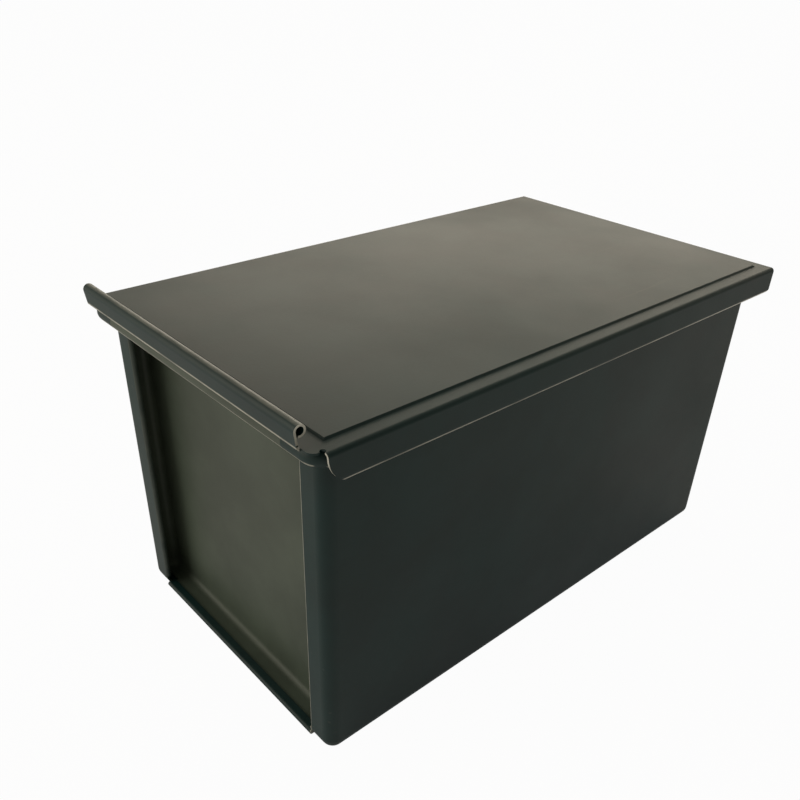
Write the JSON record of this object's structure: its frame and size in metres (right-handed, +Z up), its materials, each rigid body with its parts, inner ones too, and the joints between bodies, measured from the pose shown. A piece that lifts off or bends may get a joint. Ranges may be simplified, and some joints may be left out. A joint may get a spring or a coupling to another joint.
{
  "type": "pullman loaf pan",
  "caption": "Long square-sided loaf tin in folded, coated steel, with a wire-stiffened rolled rim and a flat lid that slides off lengthwise by a curled pull lip.",
  "frame": {"origin": "middle of the pan's underside, on the surface that it stands on", "axes": "+Z up, X along the pan and along the lid's slide with the lid's pull lip at -X, Y across the pan"},
  "size_m": [0.208, 0.1212, 0.1167],
  "materials": {
    "coated_steel": "satin dark non-stick coating",
    "wire": "drawn steel wire"
  },
  "bodies": {
    "pan": {"body_sheet": "coated_steel", "front_end_panel": "coated_steel", "rear_end_panel": "coated_steel", "rim_wire": "wire"},
    "cover": {"lid": "coated_steel"}
  },
  "joints": [
    {"name": "lid_slide", "type": "slide", "parent": "pan", "child": "cover", "axis": [-1, 0, 0], "range_m": [0, 0.21]}
  ]
}
